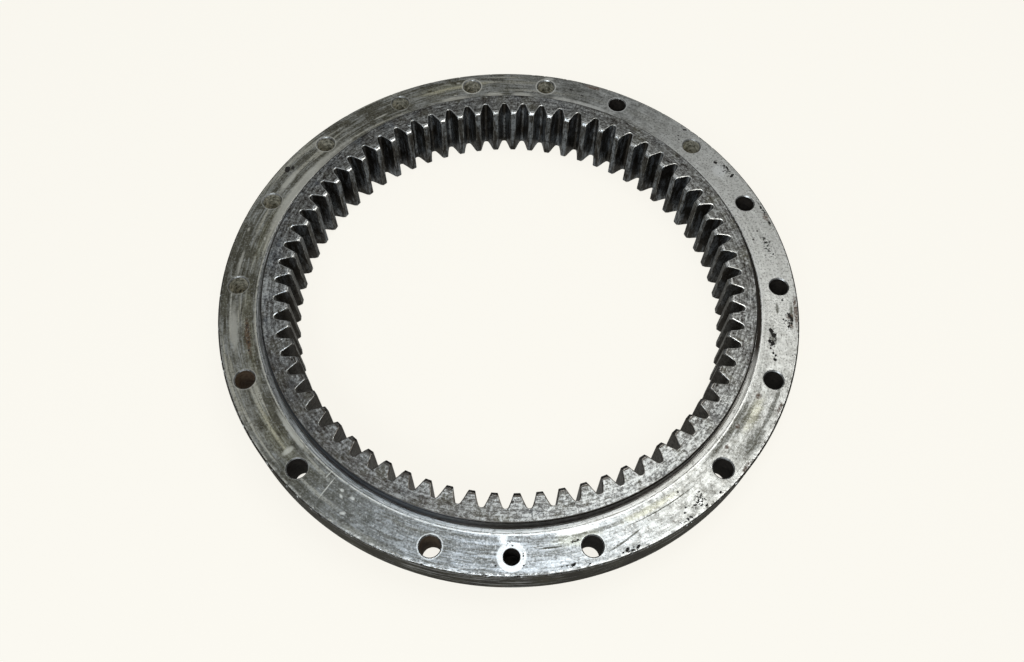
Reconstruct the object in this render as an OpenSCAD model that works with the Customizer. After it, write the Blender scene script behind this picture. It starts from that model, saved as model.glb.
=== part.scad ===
// Internal ring gear with a bolting flange, turned and toothed from one forging.
// The origin is on the gear axis at the lower end face, with +Z along the axis.
// The small blind hole lies towards -Y. Angles are degrees clockwise from +Y, seen from above.

/* [Teeth] */
// Number of internal teeth
tooth_count = 69; // [50:1:90]
// Gear module, the pitch diameter over the number of teeth
tooth_module = 4.5; // [3:0.25:6]
// Pressure angle of the involute flanks
pressure_angle = 20; // [18:0.5:24]
// Height of a tooth inside the pitch circle, in modules
addendum_factor = 1; // [0.8:0.05:1.1]
// Depth of a gap outside the pitch circle, in modules
dedendum_factor = 1.25; // [1.1:0.05:1.35]
// Radius in the corners at the root of a gap
root_fillet = 1.8; // [0.4:0.1:1.9]
// Radial width of the lead-in chamfer at the tooth ends
tip_chamfer_w = 2.4; // [0.5:0.1:3.5]
// Axial depth of the lead-in chamfer at the tooth ends
tip_chamfer_h = 1.2; // [0.5:0.1:3]
// Angle of the first gap from +Y
first_gap_angle = 3.9; // [0:0.1:5]

/* [Registers] */
// Metal between the roots of the gaps and the outside of the locating registers
register_wall = 9.125; // [8:0.125:12]
// Height of each register over its flange face
register_h = 7.5; // [5:0.5:12]
// Chamfer on the outer edge of each register
register_chamfer = 0.8; // [0.3:0.1:2]

/* [Flange] */
// Metal between the bolt circle and the rim
bolt_margin = 12; // [9:0.5:20]
// Thickness of the flange between its bolting faces
flange_t = 28.5; // [24:0.5:40]
// Chamfer on the rim
rim_chamfer = 0.8; // [0.3:0.1:2]
// Radial width of the shallow relief round the register
relief_w = 4.3; // [3:0.1:5.5]
// Depth of the shallow relief
relief_depth = 0.4; // [0.2:0.1:1]
// Radial width of the tool groove at the foot of the register
groove_w = 1.3; // [0.8:0.1:2]
// Depth of the tool groove below the relief
groove_depth = 0.8; // [0.3:0.1:1.5]

/* [Bolt holes] */
// Distance from the register out to the circle through the hole centres
bolt_offset = 18; // [15:0.5:24]
// Diameter of a bolt hole
bolt_hole_d = 13; // [9:0.5:13.5]
// Chamfer at both mouths of a bolt hole
bolt_hole_chamfer = 0.75; // [0.25:0.25:1.25]
// Angle of the first pair of holes, each side of +Y
first_pair_angle = 9; // [5:0.5:14]
// Angle of the second pair
second_pair_angle = 27; // [22:0.5:34]
// Angle of the third pair
third_pair_angle = 48; // [42:0.5:58]
// Angle of the first of the evenly spaced side holes
side_pair_angle = 67.5; // [65:0.5:72]
// Angle between neighbouring side holes
side_pair_step = 22.5; // [18:0.5:24]
// Number of evenly spaced side holes on each side
side_pair_count = 4; // [1:1:4]
// Angle between the small hole and the bolt hole each side of it
near_pair_offset = 15; // [10:0.5:22]

/* [Small hole] */
// Diameter of the small blind hole
small_hole_d = 10.2; // [6:0.1:12]
// Depth of its straight wall
small_hole_depth = 17; // [8:0.5:20]
// Angle of the drill point at its bottom
drill_point_angle = 118; // [90:1:140]
// Width of the drill's chisel edge, which leaves a flat spot in the middle of the bottom
drill_web = 1; // [0.5:0.1:2]
// Width of the edge break at its mouth
small_hole_chamfer = 0.3; // [0.1:0.1:1]

/* [Hidden] */

$fn = 180;
// How far a cutting shape runs past the face that it opens
cut_over = 2;
// How far a gap's involute runs on inside the tip circle
flank_lead = 0.8;
// Straight steps along one involute flank, and round one root corner
flank_steps = 7;
fillet_steps = 4;
// Least half width of the flat that is left between the two root corners
root_flat = 0.05;

total_h = flange_t + 2 * register_h;
flange_top = register_h + flange_t;

pitch_r = tooth_count * tooth_module / 2;
base_r = pitch_r * cos(pressure_angle);
tip_r = pitch_r - addendum_factor * tooth_module;
root_r = pitch_r + dedendum_factor * tooth_module;
pitch_angle = 360 / tooth_count;

register_r = root_r + register_wall;
bolt_circle_r = register_r + bolt_offset;
flange_r = bolt_circle_r + bolt_margin;
right_pairs = concat(
    [first_pair_angle, second_pair_angle, third_pair_angle],
    [for (i = [0 : side_pair_count - 1]) side_pair_angle + i * side_pair_step],
    [180 - near_pair_offset]
);
bolt_angles = concat(right_pairs, [for (a = right_pairs) -a]);

// Involute function of an angle, in degrees
function involute(a) = tan(a) * 180 / PI - a;

// Half the angular width of a gap at radius r
function gap_half_angle(r) =
    90 / tooth_count + involute(pressure_angle) - involute(acos(base_r / r));

// Point on the right flank of a gap that is centred on +Y
function flank_point(r) = r * [sin(gap_half_angle(r)), cos(gap_half_angle(r))];

// The flank leans away from the gap's middle by this angle where it meets the root
root_lean = acos(base_r / root_r) - gap_half_angle(root_r);
root_corner = flank_point(root_r);
fillet_reach = 1 / cos(root_lean) - tan(root_lean);
fillet_r = min(root_fillet, (root_corner[0] - root_flat) / fillet_reach);
fillet_centre = [root_corner[0] - fillet_r * fillet_reach, root_corner[1] - fillet_r];
flank_start_r = tip_r - flank_lead;
flank_end_r = root_r - fillet_r * (1 - sin(root_lean));

// Right half of one gap, from inside the tip circle out to the root
function half_gap() = concat(
    [flank_point(flank_start_r) * (tip_r - cut_over) / flank_start_r],
    [for (i = [0 : flank_steps - 1])
        flank_point(flank_start_r + i * (flank_end_r - flank_start_r) / flank_steps)],
    [for (i = [0 : fillet_steps])
        let (a = root_lean + i * (90 - root_lean) / fillet_steps)
        fillet_centre + fillet_r * [cos(a), sin(a)]]
);

function turned(p, a) = [
    p[0] * cos(a) + p[1] * sin(a),
    p[1] * cos(a) - p[0] * sin(a)
];

// Outline of all the gaps in one run round the bore
function gaps_outline() = [
    for (k = [0 : tooth_count - 1])
        let (
            a = first_gap_angle + k * pitch_angle,
            right = half_gap(),
            last = len(right) - 1,
            left = [for (p = right) [-p[0], p[1]]]
        )
        for (p = concat(left, [for (i = [last : -1 : 0]) right[i]]))
            turned(p, a)
];

// Upper half of the turned section, from the middle of the flange to the end face
function half_section() = [
    [tip_r, 0],
    [tip_r, total_h / 2 - tip_chamfer_h],
    [tip_r + tip_chamfer_w, total_h / 2],
    [register_r - register_chamfer, total_h / 2],
    [register_r, total_h / 2 - register_chamfer],
    [register_r, flange_t / 2 - relief_depth - groove_depth],
    [register_r + groove_w, flange_t / 2 - relief_depth - groove_depth],
    [register_r + groove_w, flange_t / 2 - relief_depth],
    [register_r + relief_w, flange_t / 2 - relief_depth],
    [register_r + relief_w, flange_t / 2],
    [flange_r - rim_chamfer, flange_t / 2],
    [flange_r, flange_t / 2 - rim_chamfer],
    [flange_r, 0]
];

module turned_blank() {
    half = half_section();
    last = len(half) - 1;
    lower = [for (i = [last - 1 : -1 : 1]) [half[i][0], -half[i][1]]];
    translate([0, 0, total_h / 2])
        rotate_extrude()
            polygon(concat(half, lower));
}

module tooth_gaps() {
    translate([0, 0, -cut_over])
        linear_extrude(height = total_h + 2 * cut_over)
            polygon(gaps_outline());
}

module at_flange_angle(a) {
    rotate([0, 0, -a])
        translate([0, bolt_circle_r, 0])
            children();
}

// A cone that breaks the edge of a hole whose mouth is at z = 0 and opens upwards
module mouth_cone(d, chamfer) {
    translate([0, 0, -chamfer])
        cylinder(h = chamfer + cut_over, d1 = d, d2 = d + 2 * (chamfer + cut_over));
}

module bolt_hole() {
    translate([0, 0, register_h - cut_over])
        cylinder(h = flange_t + 2 * cut_over, d = bolt_hole_d);
    translate([0, 0, flange_top])
        mouth_cone(bolt_hole_d, bolt_hole_chamfer);
    translate([0, 0, register_h])
        mirror([0, 0, 1])
            mouth_cone(bolt_hole_d, bolt_hole_chamfer);
}

module small_hole() {
    point_h = (small_hole_d - drill_web) / 2 / tan(drill_point_angle / 2);
    translate([0, 0, flange_top]) {
        translate([0, 0, -small_hole_depth])
            cylinder(h = small_hole_depth + cut_over, d = small_hole_d);
        translate([0, 0, -small_hole_depth - point_h])
            cylinder(h = point_h, d1 = drill_web, d2 = small_hole_d);
        mouth_cone(small_hole_d, small_hole_chamfer);
    }
}

module ring_gear() {
    color([0.55, 0.55, 0.54])
        difference() {
            turned_blank();
            tooth_gaps();
            for (a = bolt_angles)
                at_flange_angle(a) bolt_hole();
            at_flange_angle(180) small_hole();
        }
}

ring_gear();
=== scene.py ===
"""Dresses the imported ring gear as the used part: one turned steel forging with a toothed bore.

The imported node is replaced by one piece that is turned, toothed, drilled and worn here.
Sizes are in metres. Angles on the ring are degrees clockwise from +Y, seen from above.
"""

import math
import random

import bpy
from bpy.props import FloatProperty, FloatVectorProperty, IntProperty, PointerProperty
from mathutils import Matrix, Vector


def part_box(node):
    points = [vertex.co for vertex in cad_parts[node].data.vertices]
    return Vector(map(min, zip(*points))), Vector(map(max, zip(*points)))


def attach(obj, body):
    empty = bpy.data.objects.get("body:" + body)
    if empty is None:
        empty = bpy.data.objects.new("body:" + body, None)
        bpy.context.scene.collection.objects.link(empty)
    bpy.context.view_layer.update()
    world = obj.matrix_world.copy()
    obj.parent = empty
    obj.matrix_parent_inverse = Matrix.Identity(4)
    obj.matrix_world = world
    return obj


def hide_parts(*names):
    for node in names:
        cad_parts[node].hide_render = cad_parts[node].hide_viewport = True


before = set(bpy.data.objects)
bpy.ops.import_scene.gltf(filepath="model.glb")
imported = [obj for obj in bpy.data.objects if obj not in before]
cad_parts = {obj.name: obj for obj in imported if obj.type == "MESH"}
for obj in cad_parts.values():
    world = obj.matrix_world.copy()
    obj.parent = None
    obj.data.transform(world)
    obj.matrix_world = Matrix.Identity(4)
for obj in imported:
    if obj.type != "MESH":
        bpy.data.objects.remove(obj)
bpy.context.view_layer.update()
LOW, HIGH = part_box("ring_gear")

bl_info = {
    "name": "Worn ring gear",
    "version": (1, 0, 0),
    "blender": (4, 5, 0),
    "location": "3D View > Sidebar > Ring gear",
    "description": "Models and finishes a used internal ring gear with a bolting flange",
    "category": "Object",
}

MM = 0.001
SEED = 69

# Sides of the turned forms: the blank's for each tooth, and those of the holes
SIDES_PER_TOOTH, BOLT_HOLE_SIDES, SMALL_HOLE_SIDES = 6, 48, 40
# Points that lie closer than this are one point, in a turned form and after the gaps are cut
TURNED_GAP, CUT_GAP = 0.01 * MM, 0.001 * MM

# Depth of a tooth gap outside the pitch circle, in modules
DEDENDUM = 1.25
# Straight steps along one flank of a gap, and round one of its root corners
FLANK_STEPS = 9
FILLET_STEPS = 5
# How far a flank runs on inside the tip circle
FLANK_LEAD = 0.8 * MM
# How far a gap or a hole's mouth runs past the face that it opens
GAP_OVER = 2 * MM
MOUTH_OVER = 1 * MM
# Small hole: its edge break, the flat from the drill's chisel edge and half the point angle
SMALL_BREAK = 0.3 * MM
DRILL_FLAT = 0.5 * MM
DRILL_HALF_ANGLE = math.radians(59)

# Faces that turn less than the first lie in one plane, less than the second are shaded as one,
# and more than the third meet in an edge that is rounded
FLAT_ANGLE = math.radians(0.2)
SMOOTH_ANGLE = math.radians(30)
SHARP_ANGLE = math.radians(32)
# Shares of the full rounding: at the tooth ends, round the tool groove and elsewhere
END_SHARE, GROOVE_SHARE, OTHER_SHARE = 1.0, 0.25, 0.4

# Numbers of chips along the upper and the lower edge of the rim, and of nicks in the tooth ends
UPPER_CHIPS, LOWER_CHIPS = 110, 52
NICK_COUNT = 58
# Half axes of a pit as a share of its listed size, and its depth
PIT_SHARE = 0.7
PIT_DEPTH = 0.5 * MM

# Radius on which the way round the ring is measured for marks and streaks
MARK_RADIUS = 188 * MM
# Half of the ring with some spare, and the degrees that a mark's reach gets for one radian
HALF_RING = 94
REACH_DEGREES = 60
# Width over which a rubbed ring fades out, in mm
RING_FADE = 0.7

# Angles of the bolt holes, by the look of their walls
# Pale walls, partly dust and partly painted light.
DUST_AND_LIGHT_HOLES = (9, 48, 270, 292.5, 312, 333, 351)
# Walls painted near black, as shade in the holes.
SHADED_HOLES = (27, 67.5, 90, 112.5, 135, 165, 225)
RUSTY_HOLES = (195, 247.5)
SMALL_HOLE = 180

# Pits and chips in the flange face: angle, share of the flange radius, then length round
# the ring and width in mm
PITS = (
    (15.2, 0.947, 1.8, 1.2), (43.8, 0.984, 3, 1.4), (43.8, 0.943, 1.2, 1),
    (44.6, 0.93, 1.2, 1), (54.9, 0.955, 2.8, 2.2), (57.6, 0.975, 3.6, 1.2),
    (59.8, 0.968, 1.8, 4), (69.8, 0.985, 2.4, 1.6), (74, 0.985, 2.4, 1.6),
    (75.3, 0.927, 1.4, 1.2), (77.3, 0.9, 1.4, 1.2), (81.8, 0.95, 1.3, 1.1),
    (97.4, 0.97, 6, 1.8), (99.6, 0.962, 1.5, 1.3), (98, 0.945, 1.3, 1.1),
    (93.3, 0.945, 1.4, 1.2), (101.2, 0.904, 3.6, 2.6), (102.2, 0.914, 3.4, 2.8),
    (103.9, 0.902, 2.4, 2), (104.2, 0.913, 2.6, 2.4), (105.5, 0.908, 1.5, 1.2),
    (106.5, 0.919, 1.7, 1.4), (106.9, 0.928, 1.7, 1.2), (107.9, 0.928, 1.8, 2.4),
    (139, 0.984, 1.8, 1.2), (142.6, 0.986, 1.9, 1.2), (142.8, 0.968, 1.3, 1.1),
    (142, 0.94, 1.2, 1), (145.3, 0.902, 1.3, 1.1), (146, 0.953, 1.2, 1),
    (146.8, 0.965, 1.4, 1.1), (157.4, 0.986, 2.6, 1.6), (158.5, 0.989, 2.8, 1.2),
    (159.4, 0.982, 3, 1.8), (160.3, 0.986, 1.4, 1), (169.3, 0.981, 2.4, 1.6),
    (166.4, 0.988, 1.6, 0.9), (169, 0.978, 2.2, 0.9), (177.9, 0.966, 1.2, 0.9),
    (182.8, 0.967, 1.1, 0.9), (301.4, 0.972, 5, 3.4), (302.4, 0.96, 2.6, 2),
)

# Rings rubbed bright round holes by screw heads: angle, outer radius in mm, brightness
RUBBED_RINGS = (
    (9, 8.6, 0.75), (27, 8.2, 0.7), (48, 7.8, 0.35), (165, 7.9, 0.4), (180, 9.3, 0.55),
    (195, 8.3, 0.5), (225, 7.8, 0.45), (247.5, 8, 0.6), (270, 8, 0.4), (292.5, 8, 0.6),
    (312, 8.2, 0.75), (333, 8, 0.5), (351, 8.6, 0.75),
)

# Areas that are full of black specks, as patches like the marks below
SPECKLED = (
    (57.5, 0.965, 12, 8), (70.5, 0.985, 16, 3), (79, 0.94, 16, 9), (98, 0.965, 16, 8),
    (103, 0.912, 20, 6), (143.5, 0.962, 16, 9), (147, 0.985, 20, 3), (158.8, 0.984, 13, 4),
    (167.8, 0.913, 11, 2.4), (171, 0.983, 8, 3), (177.8, 0.934, 3, 8), (180.6, 0.902, 9, 6),
    (182.7, 0.936, 4, 7), (257, 0.905, 36, 6), (301.6, 0.966, 14, 9, -30), (18, 0.93, 8, 4),
)

# Local marks as patches: angle, share of the flange radius, length and width in mm,
# and then a turn in degrees where they lie askew
PALE_MARKS = (
    (3.6, 0.886, 18, 6), (356.4, 0.886, 18, 6), (14, 0.886, 20, 6), (21, 0.886, 50, 5),
    (167, 0.884, 30, 4), (232, 0.883, 45, 3.5), (300, 0.886, 125, 8), (346, 0.886, 26, 6),
    (9.5, 0.985, 9, 3), (57.2, 0.94, 12, 13, 20), (181.6, 0.884, 6, 9),
    (212.3, 0.955, 4, 2, 30), (212.5, 0.902, 3.5, 2), (214.6, 0.916, 4, 1.6, -25),
    (215.2, 0.9, 3, 2), (217.9, 0.92, 0.9, 18, 4), (219.5, 0.885, 0.8, 7),
    (229, 0.925, 4, 9), (259.8, 0.947, 40, 6), (275.5, 0.95, 22, 2.4), (284, 0.965, 4, 2.4),
    (282.5, 0.895, 3.5, 2), (299, 0.935, 26, 5), (327, 0.915, 14, 1.6),
    (346.5, 0.905, 3, 1.6), (348, 0.965, 3.4, 1.8),
)
DARK_MARKS = (
    (118, 0.965, 46, 3), (127, 0.965, 24, 8), (124, 0.905, 30, 4), (127, 0.887, 62, 5),
    (263, 0.895, 70, 9), (331, 0.89, 40, 6), (74, 0.983, 8, 2.4), (97, 0.972, 22, 3),
    (95.5, 0.925, 10, 3), (103.2, 0.912, 12, 6), (159, 0.955, 26, 1.4, 14),
    (172.5, 0.92, 17, 1.6), (167.9, 0.913, 8, 0.9), (149, 0.917, 58, 0.8),
    (234.5, 0.92, 36, 4), (255, 0.918, 46, 0.9), (285, 0.92, 33, 5),
    (301.6, 0.968, 10, 6, -30), (304.6, 0.962, 1.4, 10, 30), (314, 0.955, 7, 1.6),
    (331, 0.94, 38, 4), (342, 0.93, 32, 14),
)
YELLOW_MARKS = (
    (121.5, 0.92, 30, 9), (152, 0.9, 50, 5), (167.5, 0.905, 34, 10), (232, 0.93, 60, 12),
    (258, 0.9, 90, 8), (285, 0.9, 70, 8), (346, 0.95, 60, 10),
)
RUST_MARKS = (
    (20, 0.985, 13, 4), (72.5, 0.982, 7, 4), (95.5, 0.988, 24, 3), (97.2, 0.967, 5, 6, 20),
    (99.4, 0.97, 3, 4, -20), (117.3, 0.911, 5, 4), (117.8, 0.987, 9, 2.4),
    (125.7, 0.896, 4, 3), (131, 0.905, 4, 3), (132, 0.99, 9, 2), (257, 0.903, 30, 4),
)

# Soft lights: name, place, size, power and tint. All of them face one point.
LIGHTS = (
    ("Soft box", (0.29, 0.21, 1.2), 0.65, 3.5, (1.0, 0.99, 0.95)),
    ("Window", (-0.06, 0.12, 1.4), 0.25, 1.3, (0.66, 0.82, 1.0)),
    ("Front panel", (-0.3, -0.9, 0.95), 0.6, 5.0, (0.85, 0.92, 1.0)),
    ("Top strip", (0.0, -0.1, 1.35), 0.2, 0.5, (1.0, 1.0, 1.0)),
)
LIT_POINT = Vector((0, -0.05, 0.03))
FLOOR_RADIUS = 6


def length(name, description, default):
    return FloatProperty(name=name, description=description, default=default, unit="LENGTH")


def turn_of(name, description, degrees):
    return FloatProperty(
        name=name, description=description, default=math.radians(degrees), subtype="ANGLE"
    )


def number(name, description, default):
    return FloatProperty(name=name, description=description, default=default)


def point(name, description, default):
    return FloatVectorProperty(
        name=name, description=description, default=default, subtype="XYZ", unit="LENGTH"
    )


def colour(name, description, default):
    return FloatVectorProperty(
        name=name, description=description, default=default, subtype="COLOR", min=0, max=1
    )


class RingSizes(bpy.types.PropertyGroup):
    """Sizes of the turned, toothed and drilled ring."""

    tooth_count: IntProperty(name="Teeth", description="Number of internal teeth", default=69)
    tooth_module: length("Module", "Pitch diameter over the number of teeth", 4.5 * MM)
    pressure_angle: turn_of("Pressure angle", "Angle of the involute flanks", 20)
    root_fillet: length("Root fillet", "Radius in the corners of a gap", 1.8 * MM)
    first_gap: turn_of("First gap", "Angle of the first gap from +Y", 3.9)
    lead_width: length("Lead-in width", "Radial width of the chamfer at the tooth ends", 2.4 * MM)
    lead_height: length("Lead-in height", "Axial height of the chamfer at the tooth ends", 1.2 * MM)
    flange_radius: length("Flange radius", "Outer radius of the flange", HIGH.x)
    total_height: length("Height", "Height over both registers", HIGH.z - LOW.z)
    register_radius: length("Register radius", "Radius of the locating registers", 170 * MM)
    register_height: length("Register height", "Height of a register over the flange", 7.5 * MM)
    edge_chamfer: length("Edge chamfer", "Chamfer on the register and the rim", 0.8 * MM)
    relief_width: length("Relief width", "Width of the relief round a register", 4.3 * MM)
    relief_depth: length("Relief depth", "Depth of that relief", 0.4 * MM)
    groove_width: length("Groove width", "Width of the tool groove at a register", 1.3 * MM)
    groove_depth: length("Groove depth", "Depth of that groove below the relief", 0.8 * MM)
    bolt_circle: length("Bolt circle radius", "Radius of the circle through the holes", 188 * MM)
    bolt_hole: length("Bolt hole radius", "Radius of a bolt hole", 6.5 * MM)
    bolt_chamfer: length("Bolt hole chamfer", "Chamfer at the mouths of a bolt hole", 0.75 * MM)
    small_hole: length("Small hole radius", "Radius of the small blind hole", 5.1 * MM)
    small_depth: length("Small hole depth", "Depth of its straight wall", 17 * MM)
    edge_round: length("Edge rounding", "Rounding of the tooth outlines, the widest ones", 0.8 * MM)


class RingFinish(bpy.types.PropertyGroup):
    """Colours of the steel and of what lies on it."""

    steel: colour("Turned steel", "Clean turned steel of the flange", (0.62, 0.63, 0.61))
    dull_steel: colour("Dull steel", "Dull streaks in the turned steel", (0.21, 0.21, 0.195))
    worn: colour("Worn edge", "Steel rubbed bright on edges", (0.74, 0.74, 0.72))
    grime: colour("Grime", "Olive film of old oil and dust", (0.13, 0.122, 0.085))
    # Partly rubbed steel, partly painted glint on the far flanks.
    rubbed_oil_and_glint: colour("Rubbed oiled steel and painted glint", "Rubbed columns on the teeth", (0.5, 0.54, 0.58))
    oil: colour("Oiled steel", "Blackened, oily tooth flanks", (0.054, 0.045, 0.036))
    rust: colour("Rust", "Rusty brown spots", (0.12, 0.07, 0.04))
    pit: colour("Pit", "Dark bottom of pits and chips", (0.02, 0.017, 0.014))
    forging: colour("Toothed face", "Darker grey of the toothed ring's face", (0.26, 0.26, 0.25))
    blued: colour("Blued steel", "Bluish oxide film on the toothed ring", (0.15, 0.18, 0.22))
    # On the pale hole walls this colour is also painted light.
    dust: colour("Dust", "Grey-olive dust caked on the walls of some holes", (0.80, 0.76, 0.62))
    caked_rust: colour("Caked rust", "Lighter rust on the walls of some holes", (0.22, 0.16, 0.1))
    # Partly lighter steel, partly painted highlight: the sheen of the light from the right on the
    # flange round 74°.
    polish_and_painted_sheen: colour("Polished side and painted sheen", "Flange steel on the far right", (0.9, 0.9, 0.86))
    # Partly dirt, partly painted shade: darkens the streaks on the left side of the flange.
    swept_dirt_and_shade: colour("Swept dirt and painted shade", "Tint of the dark streaks on the left", (0.36, 0.34, 0.27))
    # Painted reflection: the cool tint stands in for the bluish window light mirrored in the near
    # flange.
    cool: colour("Painted reflection tint", "Tint of the flange left of the small hole", (0.88, 0.92, 1.0))
    yellow: colour("Yellow tint", "Tint of the thin oil on the flange", (1.0, 0.98, 0.85))


class RingStudio(bpy.types.PropertyGroup):
    """Camera, lights and floor."""

    camera_place: point(
        "Camera place", "Where the camera stands", (-8.53 * MM, -315.2 * MM, 553.1 * MM)
    )
    camera_target: point(
        "Camera target", "Point at the middle of the picture", (1.15 * MM, -35.77 * MM, 36 * MM)
    )
    camera_roll: turn_of("Camera roll", "Roll of the camera about its line of sight", 1.875)
    lens: number("Lens", "Focal length in mm", 30.57)
    floor: colour("Floor", "Pale floor and backdrop", (0.947, 0.922, 0.855))
    floor_paint: colour("Floor paint", "What the lights see of the floor", (0.12, 0.12, 0.11))
    floor_glow: number("Floor glow", "Light from the floor on the ring", 0.16)
    floor_shown: number("Floor brightness", "Its brightness for the camera", 0.935)
    room: colour("Room", "Colour of the room's light", (0.96, 0.99, 1.0))
    room_low: number("Room at eye level", "Its brightness", 0.03)
    room_high: number("Room overhead", "Its brightness", 0.4)


def deselect_all():
    bpy.ops.object.select_all(action="DESELECT")


def make_active(piece):
    deselect_all()
    piece.select_set(True)
    bpy.context.view_layer.objects.active = piece


def apply_modifier(piece, name, kind, **settings):
    """Adds one modifier to the piece and applies it."""
    modifier = piece.modifiers.new(name, kind)
    for key, value in settings.items():
        setattr(modifier, key, value)
    make_active(piece)
    if "FINISHED" not in bpy.ops.object.modifier_apply(modifier=modifier.name):
        raise RuntimeError(f"{name} could not be applied to {piece.name}")


def cut_away(piece, cutter, crossing=False):
    """Takes the cutter's form out of the piece. The new faces keep the cutter's material."""
    apply_modifier(
        piece,
        "Cut",
        "BOOLEAN",
        object=cutter,
        operation="DIFFERENCE",
        solver="EXACT",
        material_mode="TRANSFER",
        use_self=crossing,
    )
    bpy.data.objects.remove(cutter)


def edit_all(piece):
    make_active(piece)
    bpy.ops.object.mode_set(mode="EDIT")
    bpy.ops.mesh.select_all(action="SELECT")


def end_edit():
    bpy.ops.object.mode_set(mode="OBJECT")


def turn_profile(name, profile, around, filled=False):
    """A turned form: a circle is extruded along the profile, each point (radius, height).

    A filled form is closed at both ends, and any other ends where it began.
    """
    deselect_all()
    radius, height = profile[0]
    bpy.ops.mesh.primitive_circle_add(
        vertices=around, radius=radius, fill_type="NGON" if filled else "NOTHING"
    )
    turned = bpy.context.object
    turned.name = name
    edit_all(turned)
    bpy.ops.transform.translate(value=(0, 0, height))
    for next_radius, next_height in profile[1:]:
        bpy.ops.mesh.extrude_region_move(
            TRANSFORM_OT_translate={"value": (0, 0, next_height - height)}
        )
        scale = next_radius / radius
        bpy.ops.transform.resize(value=(scale, scale, 1), center_override=(0, 0, 0))
        radius, height = next_radius, next_height
    bpy.ops.mesh.select_all(action="SELECT")
    bpy.ops.mesh.remove_doubles(threshold=TURNED_GAP)
    bpy.ops.mesh.normals_make_consistent(inside=False)
    end_edit()
    return turned


def on_ring(angle, radius, height=0.0):
    """Moves a form from the origin to its place on the ring, turned with the ring."""
    return Matrix.Rotation(-math.radians(angle), 4, "Z") @ Matrix.Translation((0, radius, height))


def joined(pieces):
    """Joins pieces into the first of them."""
    deselect_all()
    for piece in pieces:
        piece.select_set(True)
    bpy.context.view_layer.objects.active = pieces[0]
    bpy.ops.object.join()
    return pieces[0]


def copies_joined(model, places):
    """One object from copies of a small form, each copy moved by its own matrix."""
    copies = []
    for place in places:
        copy = model.copy()
        copy.data = model.data.copy()
        copy.data.transform(place)
        bpy.context.collection.objects.link(copy)
        copies.append(copy)
    bpy.data.objects.remove(model)
    return joined(copies)


def involute(angle):
    """Involute function of an angle."""
    return math.tan(angle) - angle


def tip_radius(sizes):
    return (sizes.tooth_count / 2 - 1) * sizes.tooth_module


def root_radius(sizes):
    return (sizes.tooth_count / 2 + DEDENDUM) * sizes.tooth_module


def upper_face(sizes):
    """Height of the upper flange face."""
    return sizes.total_height - sizes.register_height


def gap_outline(sizes):
    """Corners of one tooth gap that is centred on +Y, from its involute flanks and root fillets."""
    pitch_radius = sizes.tooth_count * sizes.tooth_module / 2
    base = pitch_radius * math.cos(sizes.pressure_angle)
    tip = tip_radius(sizes)
    root = root_radius(sizes)
    start = tip - FLANK_LEAD
    fillet = sizes.root_fillet

    def half_angle(radius):
        quarter_pitch = math.pi / 2 / sizes.tooth_count
        return quarter_pitch + involute(sizes.pressure_angle) - involute(math.acos(base / radius))

    def flank(radius):
        angle = half_angle(radius)
        return Vector((radius * math.sin(angle), radius * math.cos(angle)))

    lean = math.acos(base / root) - half_angle(root)
    corner = flank(root)
    centre = corner + Vector((fillet * (math.tan(lean) - 1 / math.cos(lean)), -fillet))
    end = root - fillet * (1 - math.sin(lean))
    right = [flank(start) * (tip - GAP_OVER) / start]
    right += [flank(start + i * (end - start) / FLANK_STEPS) for i in range(FLANK_STEPS)]
    for i in range(FILLET_STEPS + 1):
        angle = lean + i * (math.pi / 2 - lean) / FILLET_STEPS
        right.append(centre + fillet * Vector((math.cos(angle), math.sin(angle))))
    left = [Vector((-point.x, point.y)) for point in right]
    return left + right[::-1]


def gap_cutter(sizes, material):
    """All the tooth gaps: one is extruded to its length and spun round the ring as copies."""
    mesh = bpy.data.meshes.new("gaps")
    outline = gap_outline(sizes)
    mesh.from_pydata([(p.x, p.y, -GAP_OVER) for p in outline], [], [range(len(outline))])
    mesh.transform(Matrix.Rotation(-sizes.first_gap, 4, "Z"))
    mesh.materials.append(material)
    gaps = bpy.data.objects.new("gaps", mesh)
    bpy.context.collection.objects.link(gaps)
    edit_all(gaps)
    bpy.ops.mesh.extrude_region_move(
        TRANSFORM_OT_translate={"value": (0, 0, sizes.total_height + 2 * GAP_OVER)}
    )
    bpy.ops.mesh.select_all(action="SELECT")
    copies = sizes.tooth_count - 1
    bpy.ops.mesh.spin(
        steps=copies,
        dupli=True,
        angle=2 * math.pi * copies / sizes.tooth_count,
        center=(0, 0, 0),
        axis=(0, 0, 1),
    )
    bpy.ops.mesh.select_all(action="SELECT")
    bpy.ops.mesh.normals_make_consistent(inside=False)
    end_edit()
    return gaps


def blank_profile(sizes):
    """Section of the turned blank as (radius, height), round the ring's metal and back."""
    tip = tip_radius(sizes)
    middle = sizes.total_height / 2
    face = middle - sizes.register_height
    low = face - sizes.relief_depth
    edge = sizes.edge_chamfer
    register = sizes.register_radius
    upper = [
        (tip, middle - sizes.lead_height),
        (tip + sizes.lead_width, middle),
        (register - edge, middle),
        (register, middle - edge),
        (register, low - sizes.groove_depth),
        (register + sizes.groove_width, low - sizes.groove_depth),
        (register + sizes.groove_width, low),
        (register + sizes.relief_width, low),
        (register + sizes.relief_width, face),
        (sizes.flange_radius - edge, face),
        (sizes.flange_radius, face - edge),
    ]
    lower = [(radius, -height) for radius, height in reversed(upper)]
    section = [(tip, 0)] + upper + [(sizes.flange_radius, 0)] + lower + [(tip, 0)]
    return [(radius, height + middle) for radius, height in section]


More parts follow.
